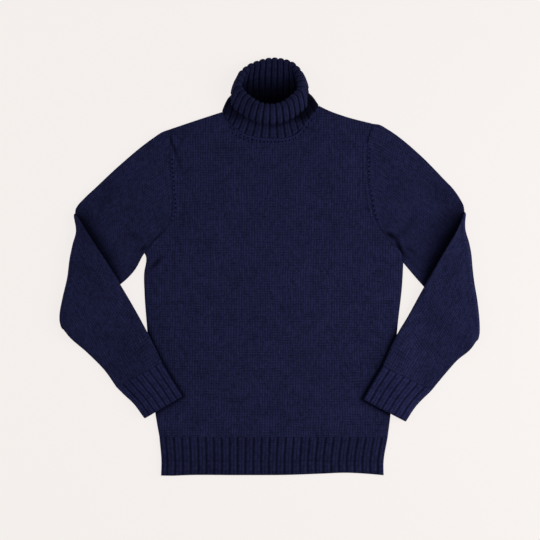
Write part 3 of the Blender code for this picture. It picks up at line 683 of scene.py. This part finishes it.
def sleeve_loops(side, inset):
    """Loops of points down one sleeve, the place of each point across and along the cloth, and how
    deep the shade painted on it is."""
    table = SLEEVES[side]
    lines = {key: smooth_line(table[key]) for key in ("upper", "under", "fold", "inner", "outer")}
    armhole = smooth_line(ARMHOLES[side][::-1])
    wrist = smooth_line([table["inner"][-1], table["outer"][-1]])
    upper_arm = patch(armhole, lines["fold"], lines["upper"], lines["under"])
    forearm = patch(lines["fold"], wrist, lines["inner"], lines["outer"])
    upwards = np.array([0.0, 0.0, 1.0])
    name = "sleeve_" + side
    loops, centres = [], []

    def keep(made, centre):
        loops.append(made)
        centres.append(centre)

    def creases_on(shown):
        """Lift by the creases in the layer that shows: 1 over, -1 beneath, or None in the fold."""
        return lambda plan, layer: creased(plan, name)[0] if layer == shown else 0.0 * plan[:, 0]

    for along in crowded(UPPER_ROWS, GRID_CROWDING[0]):
        seam = seam_relief(along * UPPER_ARM_LENGTH) - SEAM_STEP * (1 - ramp(along, 0.0, STEP_END))
        turning = ramp(along, FOLD_START, 1.0)
        keep(flat_loop(
            upper_arm([0, 1], [along])[0],
            lambda across, a=along: upper_arm(across, [a])[0],
            lambda plan, across, t=turning: SLEEVE_ROUND + FOLD_RADIUS * pinch(across) * t,
            inset, 0.0, SLEEVE_SWELL * ramp(along, 0.0, 0.9) + seam, upwards, creases_on(1), turning,
        ), upper_arm([0.5], [along])[0, 0])

    axis_z = SLEEVE_ROUND + FOLD_RADIUS
    for turn in np.linspace(0, 1, FOLD_ROWS + 2)[1:-1]:
        a = math.pi * turn
        outward = math.sin(a) * np.array([*table["fold_out"], 0.0]) - math.cos(a) * upwards
        keep(flat_loop(
            lines["fold"]([0, 1]),
            lambda across, o=outward: lines["fold"](across) + FOLD_RADIUS * corner(across)[:, None] * o[:2],
            lambda plan, across, o=outward: axis_z + FOLD_RADIUS * o[2] * (1 - pinch(across)),
            inset, FOREARM_SWELL * turn, SLEEVE_SWELL * (1 - turn), -outward, creases_on(None), 1.0,
        ), upper_arm([0.5], [1.0])[0, 0] + 3 * FOLD_RADIUS * turn * np.array(table["fold_out"]))

    top_of_fold = axis_z + FOLD_RADIUS
    turned = 3 * FOLD_RADIUS * np.array(table["fold_out"])
    for along in np.linspace(0, 1, FOREARM_ROWS):
        past_fold = ramp(along, 0.0, FOLD_SETTLES)

        def middle_z(plan, across, along=along, past_fold=past_fold):
            settled = ramp(along, 0.0, FOLD_EASE)
            lift = EDGE_LIFT * past_fold * (1 - ramp(along, *LIFT_ENDS)) * (1 - across) ** 3
            drop = FOLD_RADIUS * pinch(across) * (1 - past_fold)
            settled_z = (forearm_base(plan, side) + SLEEVE_ROUND - top_of_fold) * settled
            return top_of_fold + lift - drop + settled_z

        keep(flat_loop(
            forearm([0, 1], [along])[0],
            lambda across, a=along: forearm(across, [a])[0],
            middle_z, inset, FOREARM_SWELL * (1 - 0.8 * ramp(along, 0.8, 1.0)), 0.0, -upwards,
            creases_on(-1), 1 - past_fold,
        ), forearm([0.5], [along])[0, 0] + turned)
    points = np.array([made[0] for made in loops])
    # Painted shade on the upper arm beside the forearm's raised inner edge, as if cast by it, and in the
    # creases
    edge = lines["inner"](np.linspace(0, 1, 120))
    off_edge = np.linalg.norm(points[:UPPER_ROWS, :, None, :2] - edge[None, None, :, :], axis=-1)
    nearest, share = off_edge.min(axis=-1), off_edge.argmin(axis=-1) / (len(edge) - 1)
    reach = SHADE_REACH[side] * np.clip(1 - (share / SHADE_TO) ** 2, 0.01, 1)
    shade = np.zeros(points.shape[:2])
    shade[:UPPER_ROWS] = ramp(share, SHADE_FROM, SHADE_FULL) * np.exp(-((nearest / reach) ** 1.5))
    shade = np.maximum(shade, creased(points[..., :2], name)[1])
    along = lengths_along(np.array(centres))
    across = np.array([made[1] for made in loops])
    across = np.hstack([across, across[:, :1]])
    return points, np.dstack([across, np.broadcast_to(along[:, None], across.shape)]), shade


def sleeve(side, material):
    face, uv, shade = sleeve_loops(side, 0.0)
    lining = sleeve_loops(side, WALL)[0]
    piece = cloth_wall(f"knit_sleeve_{side}", face, lining, True, uv, material, (shade, shade))
    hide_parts(f"sleeve_{side}")
    return piece


def cuff_loop(side, ends, inset, rise):
    """A closed loop round a cuff. rise is that of its ribs, which are pressed flat underneath."""
    half = CUFF_RIBS / 2
    place = np.append(rib_places(half), half)
    width = np.linalg.norm(ends[1] - ends[0])
    radius = SLEEVE_ROUND - inset
    across = (inset + place / half * (width - 2 * inset)) / width
    from_edge = np.clip((np.minimum(across, 1 - across) * width - inset) / radius, 0, 1)
    plan = ends[0] + across[:, None] * (ends[1] - ends[0])
    middle = forearm_base(plan, side) + SLEEVE_ROUND
    height = (radius - rise / 2 + rise * finger(place, 0.6)) * np.sqrt(1 - (1 - from_edge) ** 2)
    over = np.column_stack([plan, middle + height])
    beneath = np.column_stack([plan, middle - np.minimum(height, radius)])
    return np.vstack([over, beneath[-2:0:-1]])


def cuff(side, material):
    inner = smooth_line(SLEEVES[side]["cuff_inner"])
    outer = smooth_line(SLEEVES[side]["cuff_outer"])
    face, lining = [], []
    places = np.concatenate([np.linspace(0, 0.93, 24), [0.955, 0.975, 0.99, 1.0]])
    for along in places:
        ends = np.vstack([inner(along), outer(along)])
        full = 0.2 + 0.8 * ramp(along, 0.0, 0.12) - 0.6 * ramp(along, 0.95, 1.0)
        face.append(cuff_loop(side, ends, 0.6 * MM * ramp(along, 0.96, 1.0), HEM_RISE * full))
        lining.append(cuff_loop(side, ends, HEM_WALL, 0.0))
    face, lining = np.array(face), np.array(lining)
    around = np.append(rib_places(CUFF_RIBS), CUFF_RIBS)
    uv = np.dstack(np.meshgrid(around * RIB_PITCH, places * CUFF_LENGTH))
    piece = cloth_wall(f"rib_cuff_{side}", face, lining, True, uv, material)
    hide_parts(f"cuff_{side}")
    return piece


# Collar


def collar_line(which, row):
    """Points of one guide line of the collar, at places counted in rows of its table."""
    knots = np.array([guides[which] for guides in COLLAR], float) * MM
    count = len(knots)
    knots = np.vstack([knots[-2:], knots, knots[:3]])
    at = np.arange(-2.0, count + 3)
    return hermite(knots, at, np.gradient(knots, at, axis=0), np.asarray(row, float) % count)


def rows_round(share):
    """Rows of the collar's table at even shares of the way round its middle."""
    fine = np.linspace(0, len(COLLAR), LINE_POINTS)
    length = lengths_along((collar_line(BASE_LINE, fine) + collar_line(FOLD_LINE, fine)) / 2)
    return np.interp(share * length[-1], length, fine)


def bend(start, middle, end, s):
    """A point on a smooth curve from start by middle to end, at the share s."""
    return (1 - s) * (1 - 2 * s) * start + 4 * s * (1 - s) * middle + s * (2 * s - 1) * end


def collar_middle(share, crest):
    """The middle of the collar's wall from its seam to its free edge, and the part each row is in."""
    at = rows_round(share)
    lines = (SEAM_LINE, BASE_LINE, FOLD_LINE, EDGE_LINE)
    seam, base, fold, edge = [collar_line(which, at) for which in lines]
    seam = seam + SEAM_LAP * unit(seam - base) * np.array([1.0, 1.0, 0.0]) + np.array([0, 0, SEAM_RISE])
    step = 0.05
    round_neck = collar_line(FOLD_LINE, at + step) - collar_line(FOLD_LINE, at - step)
    out = unit(np.cross(round_neck, fold - base))
    up = unit(np.cross(out, round_neck))
    fold_inside, fold_outside = fold - COLLAR_TURN * out, fold + COLLAR_TURN * out
    halfway = (fold_outside + edge) / 2
    halfway = halfway + FLAP_BULGE * ramp(halfway[:, 2], *BULGE_HEIGHTS)[:, None] * out
    rows, parts = [], []
    for s in np.linspace(0, 0.97, 26):
        rows.append(bend(seam, base, fold_inside, s))
        parts.append(("stand", s))
    for s in np.linspace(0, 1, 12):
        rows.append(fold + COLLAR_TURN * (math.sin(math.pi * s) * up - math.cos(math.pi * s) * out))
        parts.append(("fold", s))
    scallop = SCALLOP * (1 - crest)[:, None]
    for s in np.concatenate([np.linspace(0.06, 0.9, 18), [0.94, 0.97, 0.99, 1.0]]):
        rows.append(bend(fold_outside, halfway, edge, s - scallop * ramp(s, 0.6, 1.0)))
        parts.append(("flap", s))
    return np.array(rows), parts


def collar(material):
    """One rib wall. Its ribs show inside the mouth, on the flap and on the base under the flap. Shade is
    painted into its colour deep in the neck, in the grooves at the flap's free edge, on the base
    where the flap would shade it and under the flap.
    """
    share = rib_places(COLLAR_RIBS) / COLLAR_RIBS
    crest = finger(share * COLLAR_RIBS, 0.5)
    middle, parts = collar_middle(share, crest)
    round_neck = np.roll(middle, -3, axis=1) - np.roll(middle, 3, axis=1)
    normal = unit(np.cross(round_neck, np.gradient(middle, axis=0)))
    kinds = np.array([kind for kind, _ in parts])
    s = np.array([at for _, at in parts])
    stand = kinds == "stand"
    inside = np.where(stand, ramp(s, 0.15, 0.6), 1.0)
    end = kinds == "flap"
    tip = np.where(end, rounding((1.0 - s) + 0.002, 0.07), 1.0)
    under = np.where(stand, 1 - ramp(s, 0.45, 0.6), 0.0)
    pressed = np.where(end[:, None], ramp(middle[..., 2], *FLAT_HEIGHTS), 1.0)
    shows = ramp(np.abs(share - 0.5), *BASE_RIBS)
    outer = (COLLAR_WALL / 2 + COLLAR_RISE * (crest - 0.35) * inside[:, None] * pressed) * tip[:, None]
    inner = (COLLAR_WALL / 2 + COLLAR_RISE * 0.7 * crest * under[:, None] * shows) * tip[:, None]
    face = middle - normal * outer[..., None]
    lining = middle + normal * inner[..., None]
    for side in (face, lining):
        side[..., 2] = np.maximum(side[..., 2], 0.0)
    along = np.linalg.norm(np.diff(middle, axis=0), axis=2).mean(axis=1)
    along = np.concatenate([[0.0], np.cumsum(along)])
    around = np.append(rib_places(COLLAR_RIBS), COLLAR_RIBS)
    uv = np.dstack(np.meshgrid(around * RIB_PITCH, along))
    # Painted shade on the face: darker down the stand deep in the neck, and in the grooves at the flap's
    # free edge
    throat = np.where(stand, 1 - ramp(s, *THROAT_SHADE), 0.0)[:, None]
    tips = np.where(end, ramp(s, 0.55, 0.95), 0.0)[:, None] * (1 - crest) ** 0.8
    throat = np.maximum(throat, tips)
    # Painted shade on the lining: on the base where the flap would shade it, and under the flap
    seen = ramp(np.abs(share - 0.5), *LIT_BASE)[None, :]
    down = s[:, None]
    covered = np.where(stand[:, None], ramp(down, 0.35 * seen - 0.1, 0.35 * seen + 0.25), 1.0)
    covered = covered * np.where(share < 0.5, *BASE_COVER)
    covered = np.where(end[:, None], 1 - ramp(down, 0.9, 1.0), covered)
    piece = cloth_wall("rib_collar", face, lining, True, uv, material, (throat, covered))
    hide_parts("collar")
    return piece


# Raised loops, painted lighter as painted light, and holes between stitches, dark beads of painted shade


def surface_of(piece):
    """Finds the height of a piece over a place on the table."""
    mesh = piece.data
    tree = BVHTree.FromPolygons([v.co for v in mesh.vertices], [p.vertices for p in mesh.polygons])

    def height(point):
        hit = tree.ray_cast(Vector((*point, 0.2)), Vector((0, 0, -1)))[0]
        return 0.0 if hit is None else hit.z

    return height


def along_line(line, shares, below):
    """Points beside a line, on its right as it runs, and the way that the line heads there."""
    points = line(shares)
    ahead = unit(line(shares + 0.001) - line(shares - 0.001))
    beside = np.column_stack([ahead[:, 1], -ahead[:, 0]])
    return points + below * beside, np.arctan2(ahead[:, 1], ahead[:, 0])


def beads(name, points, turns, height, size, material):
    """A row of small rounded loops, each half sunk in the cloth below it."""
    bpy.ops.object.select_all(action="DESELECT")
    bpy.ops.mesh.primitive_uv_sphere_add(segments=8, ring_count=6, radius=0.5)
    first = bpy.context.object
    first.name = name
    bpy.ops.object.mode_set(mode="EDIT")
    bpy.ops.transform.resize(value=size, center_override=(0, 0, 0))
    bpy.ops.object.mode_set(mode="OBJECT")
    first.data.materials.append(material)
    made = [first]
    for _ in points[1:]:
        copy = first.copy()
        copy.data = first.data.copy()
        bpy.context.scene.collection.objects.link(copy)
        made.append(copy)
    for bead, point, turn in zip(made, points, turns):
        bead.location = (*point, height(point))
        bead.rotation_euler = (0, 0, turn)
        bead.select_set(True)
    bpy.context.view_layer.objects.active = first
    bpy.ops.object.transform_apply(location=True, rotation=True, scale=True)
    bpy.ops.object.join()
    bpy.ops.object.shade_smooth()
    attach(first, "root")
    return first


def armhole_marks(side, carrier, painted_light_loop_material, painted_shade_hole_material):
    """Rows of raised loops beside an armhole, each with a hole below it. The loops are painted lighter as
    painted light, and each hole is a dark bead of painted shade.
    """
    over = surface_of(carrier)
    made = []
    for number, (first, last, count) in enumerate(ARMHOLE_MARKS[side], 1):
        line = smooth_line(ARMHOLES[side])
        points, heading = along_line(line, np.linspace(first, last, count), MARKS_BESIDE)
        turns = heading + math.radians(MARKS_TURN[side])
        made.append(beads(f"marks_{side}_{number}", points, turns, over, BEAD, painted_light_loop_material))
        made.append(beads(f"marks_hole_shades_{side}_{number}", points + HOLE_STEP, turns, over, HOLE,
                          painted_shade_hole_material))
    return made


# Materials


def add(tree, kind, inputs=None, **settings):
    """Adds a node. An input is a value, another node's output, or a node, for its first output."""
    node = tree.nodes.new(kind)
    for name, value in settings.items():
        setattr(node, name, value)
    for name, value in (inputs or {}).items():
        if isinstance(value, bpy.types.Node):
            value = value.outputs[0]
        if isinstance(value, bpy.types.NodeSocket):
            tree.links.new(value, node.inputs[name])
        else:
            node.inputs[name].default_value = value
    return node


def unevenness(tree, vector, size, detail, low, high):
    """Soft noise between about low and high, with a size from one rise to the next."""
    made = add(tree, "ShaderNodeTexNoise", {"Vector": vector, "Scale": 1 / size, "Detail": detail})
    return add(tree, "ShaderNodeMapRange", {
        "Value": made, "From Min": 0.3, "From Max": 0.7, "To Min": low, "To Max": high,
    }, interpolation_type="SMOOTHSTEP")


def knit_heights(tree, across, along):
    """Height across the columns of stitches and along their V shapes, each from 0 to 1."""
    in_column = add(tree, MATH, {0: across}, operation="FRACT")
    off_middle = add(tree, MATH, {0: in_column, 1: 0.5}, operation="SUBTRACT")
    from_middle = add(tree, MATH, {0: off_middle}, operation="ABSOLUTE")
    quarter = add(tree, MATH, {0: from_middle, 1: math.pi}, operation="MULTIPLY")
    column = add(tree, MATH, {0: quarter}, operation="COSINE")
    slant = add(tree, MATH, {0: from_middle, 1: V_SLANT}, operation="MULTIPLY")
    slanted = add(tree, MATH, {0: along, 1: slant}, operation="ADD")
    turn = add(tree, MATH, {0: slanted, 1: 2 * math.pi}, operation="MULTIPLY")
    wave = add(tree, MATH, {0: turn}, operation="SINE")
    return column, add(tree, MATH, {0: wave, 1: 0.5, 2: 0.5}, operation="MULTIPLY_ADD")


def darker_between(tree, height, shade):
    """A factor of painted shade: 1 where the height is 1, less the shade where it is 0."""
    depth = add(tree, MATH, {0: 1.0, 1: height}, operation="SUBTRACT")
    lost = add(tree, MATH, {0: depth, 1: shade}, operation="MULTIPLY")
    return add(tree, MATH, {0: 1.0, 1: lost}, operation="SUBTRACT")


def matt_material(name, roughness, gloss):
    """A new material and its shader."""
    material = bpy.data.materials.new(name)
    material.use_nodes = True
    shader = material.node_tree.nodes["Principled BSDF"]
    shader.inputs["Roughness"].default_value = roughness
    shader.inputs["Specular IOR Level"].default_value = gloss
    return material, shader


def wool(name, hex_colour, ribbed):
    """Navy worsted wool: matt, a little downy, with shade painted into its colour between its loops, in
    the grooves of its ribs and where its mesh carries painted shade.
    """
    material, shader = matt_material(name, WOOL_ROUGHNESS, WOOL_GLOSS)
    tree = material.node_tree
    cloth = add(tree, "ShaderNodeUVMap", uv_map="cloth")
    place = add(tree, "ShaderNodeSeparateXYZ", {0: cloth})
    wander = unevenness(tree, cloth, *WANDER)
    courses = add(tree, MATH, {0: place.outputs[1], 1: STITCH_LONG}, operation="DIVIDE")
    along = add(tree, MATH, {0: courses, 1: wander}, operation="ADD")
    if ribbed:
        # Two columns of stitches stand on each rib, with a groove between the ribs that painted shade
        # darkens.
        ribs = add(tree, MATH, {0: place.outputs[0], 1: RIB_PITCH}, operation="DIVIDE")
        turn = add(tree, MATH, {0: ribs}, operation="FRACT")
        off_crest = add(tree, MATH, {0: turn, 1: 0.5}, operation="SUBTRACT")
        from_crest = add(tree, MATH, {0: off_crest}, operation="ABSOLUTE")
        past_groove = add(tree, MATH, {0: turn, 1: 0.1}, operation="SUBTRACT")
        across = add(tree, MATH, {0: past_groove, 1: 0.4}, operation="DIVIDE")
        groove = add(tree, "ShaderNodeMapRange", {
            "Value": from_crest, "From Min": 0.34, "From Max": 0.5, "To Min": 1.0, "To Max": RIB_SHADE,
        }, interpolation_type="SMOOTHSTEP")
        column_shade, course_shade = RIB_COLUMN_SHADE, RIB_COURSE_SHADE
    else:
        columns = add(tree, MATH, {0: place.outputs[0], 1: STITCH_WIDE}, operation="DIVIDE")
        across = add(tree, MATH, {0: columns, 1: wander}, operation="ADD")
        groove = 1.0
        clear = unevenness(tree, cloth, *TENSION)
        column_shade = add(tree, MATH, {0: clear, 1: COLUMN_SHADE}, operation="MULTIPLY")
        unclear = add(tree, MATH, {0: 1.15, 1: clear}, operation="SUBTRACT")
        course_shade = add(tree, MATH, {0: unclear, 1: COURSE_SHADE}, operation="MULTIPLY")
    column, loop = knit_heights(tree, across, along)
    stitch = add(tree, "ShaderNodeCombineXYZ", {
        0: add(tree, MATH, {0: across}, operation="FLOOR"),
        1: add(tree, MATH, {0: along}, operation="FLOOR"),
    })
    each = add(tree, "ShaderNodeTexWhiteNoise", {"Vector": stitch}, noise_dimensions="2D")
    scale = [1 / size for size in STREAK_SIZE] + [1.0]
    drawn = add(tree, "ShaderNodeMapping", {"Vector": cloth, "Scale": scale})
    streaks = unevenness(tree, drawn, *STREAKS)
    position = add(tree, "ShaderNodeTexCoord")
    patches, speckle, fibres = [
        unevenness(tree, position.outputs["Object"], *kind) for kind in (PATCHES, SPECKLE, FIBRES)
    ]
    darkest, lighter = STITCH_TONE
    tone = add(tree, MATH, {0: each, 1: lighter, 2: darkest}, operation="MULTIPLY_ADD")
    for extra in (streaks, patches, speckle, fibres):
        tone = add(tree, MATH, {0: tone, 1: extra}, operation="ADD")
    # Painted shade from the mesh, then painted shade in the grooves and between the columns and courses
    painted_shade = add(tree, "ShaderNodeAttribute", attribute_name="painted_shade")
    shade = add(tree, MATH, {0: painted_shade.outputs["Fac"], 1: -PAINTED_SHADE_DEPTH, 2: 1.0},
                operation="MULTIPLY_ADD")
    for factor in (groove, shade, darker_between(tree, column, column_shade),
                   darker_between(tree, loop, course_shade)):
        tone = add(tree, MATH, {0: tone, 1: factor}, operation="MULTIPLY")
    tinted = add(tree, "ShaderNodeVectorMath", {0: colour(hex_colour)[:3], "Scale": tone},
                 operation="SCALE")
    stitches = add(tree, MATH, {0: loop, 1: 0.25, 2: column}, operation="MULTIPLY_ADD")
    relief = add(tree, MATH, {0: fibres, 1: stitches}, operation="ADD")
    bump = add(tree, "ShaderNodeBump", {"Height": relief, "Strength": 0.6, "Distance": BUMP_DEPTH})
    tree.links.new(tinted.outputs[0], shader.inputs["Base Color"])
    tree.links.new(bump.outputs[0], shader.inputs["Normal"])
    shader.inputs["Specular Tint"].default_value = colour(GLEAM)
    shader.inputs["Sheen Weight"].default_value = WOOL_SHEEN
    shader.inputs["Sheen Tint"].default_value = colour(GLEAM)
    shader.inputs["Sheen Roughness"].default_value = 0.6
    return material


def plain_wool(name, hex_colour):
    """Matt wool too small in the picture for its stitches to show, such as a single loop."""
    material, shader = matt_material(name, 1.0, 0.0)
    shader.inputs["Base Color"].default_value = colour(hex_colour)
    return material


def lit_table(name, hex_colour, glow):
    """A smooth matt light table. It glows, so what lies on it casts only a faint shadow."""
    material, shader = matt_material(name, 1.0, 0.0)
    pale = colour(hex_colour)
    shader.inputs["Base Color"].default_value = [c * (1 - glow) for c in pale[:3]] + [1.0]
    shader.inputs["Emission Color"].default_value = pale
    shader.inputs["Emission Strength"].default_value = glow
    return material


# Studio


def floor():
    bpy.ops.object.select_all(action="DESELECT")
    bpy.ops.mesh.primitive_plane_add(size=FLOOR_SIZE, location=(0, 0, FLOOR_AT))
    ground = bpy.context.object
    ground.name = "floor"
    ground.data.materials.append(lit_table("pale light table", "F7F2EF", FLOOR_GLOW))
    return ground


def softbox(name, at, power):
    """A broad soft light that faces the sweater."""
    light = bpy.data.lights.new(name, "AREA")
    light.shape = "RECTANGLE"
    light.size, light.size_y = SOFTBOX_SIZE
    light.energy = power
    lamp = bpy.data.objects.new(name, light)
    lamp.location = at
    lamp.rotation_euler = (-Vector(at)).to_track_quat("-Z", "Y").to_euler()
    bpy.context.scene.collection.objects.link(lamp)


def studio():
    world = bpy.data.worlds.new("studio")
    world.use_nodes = True
    sky = world.node_tree.nodes["Background"]
    sky.inputs["Color"].default_value = (1.0, 1.0, 1.0, 1.0)
    sky.inputs["Strength"].default_value = SKY
    bpy.context.scene.world = world
    softbox("right softbox", RIGHT_AT, RIGHT_POWER)
    softbox("left softbox", LEFT_AT, LEFT_POWER)
    bpy.context.scene.view_settings.view_transform = "Standard"


def camera():
    lens = bpy.data.cameras.new("camera")
    lens.sensor_width = SENSOR
    lens.lens = SENSOR * CAMERA_HEIGHT / FRAME_WIDTH
    stand = bpy.data.objects.new("camera", lens)
    stand.location = (*CAMERA_AT, CAMERA_HEIGHT)
    bpy.context.scene.collection.objects.link(stand)
    bpy.context.scene.camera = stand


knit = wool("navy worsted wool, stockinette", "202241", False)
rib = wool("navy worsted wool, two by two rib", "1D1F3C", True)
# Lighter than the other rib: partly for the cuffs' stretched ribs, partly painted light on the raised cuffs
cuff_rib = wool("navy worsted wool, cuff rib", "222446", True)
# Painted light: loops that stand up are a lighter navy than the wool round them
raised_loop_painted_light = plain_wool("navy wool of a loop that stands up", "262950")
# Painted shade: the holes between stitches are dark beads of this navy
hole_painted_shade = plain_wool("navy wool painted dark, as the shade down a hole", "0D0E24")

front = panel("front", FRONT_GRID, lambda across, up: FRONT_BASE + FRONT_SWELL * swell(across, up), 1,
              knit)
back = panel("back", BACK_GRID, lambda across, up: 0.0, -1, knit)
rib_front = hem("hem_front", FRONT_BASE, 1, rib)
rib_back = hem("hem_back", 0.0, -1, rib)
sleeves = {side: sleeve(side, knit) for side in ("right", "left")}
cuffs = {side: cuff(side, cuff_rib) for side in ("right", "left")}
roll = collar(rib)

over_front = surface_of(front)
neckline = smooth_line(NECKLINES["front"])
# The neckline's chain of raised loops, painted lighter as painted light
chain = beads("neck_chain", *along_line(neckline, np.linspace(0.03, 0.97, CHAIN_LOOPS), CHAIN_BELOW),
              over_front, BEAD, raised_loop_painted_light)
on_front = [chain]
# Dark beads of painted shade in the holes below the neckline
for number, (first, last, below, count) in enumerate(NECK_HOLES, 1):
    places = np.linspace(first, last, count)
    on_front.append(beads(f"neck_hole_shades_{number}", *along_line(neckline, places, below * MM), over_front,
                          HOLE, hole_painted_shade))
on_front += armhole_marks("right", front, raised_loop_painted_light, hole_painted_shade)
on_sleeve = armhole_marks("left", sleeves["left"], raised_loop_painted_light, hole_painted_shade)

stage = floor()
for cloth, under, details in ((back, stage, []), (front, back, on_front)):
    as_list(details)
for side, details in (("right", []), ("left", on_sleeve)):
    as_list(details)
studio()
camera()
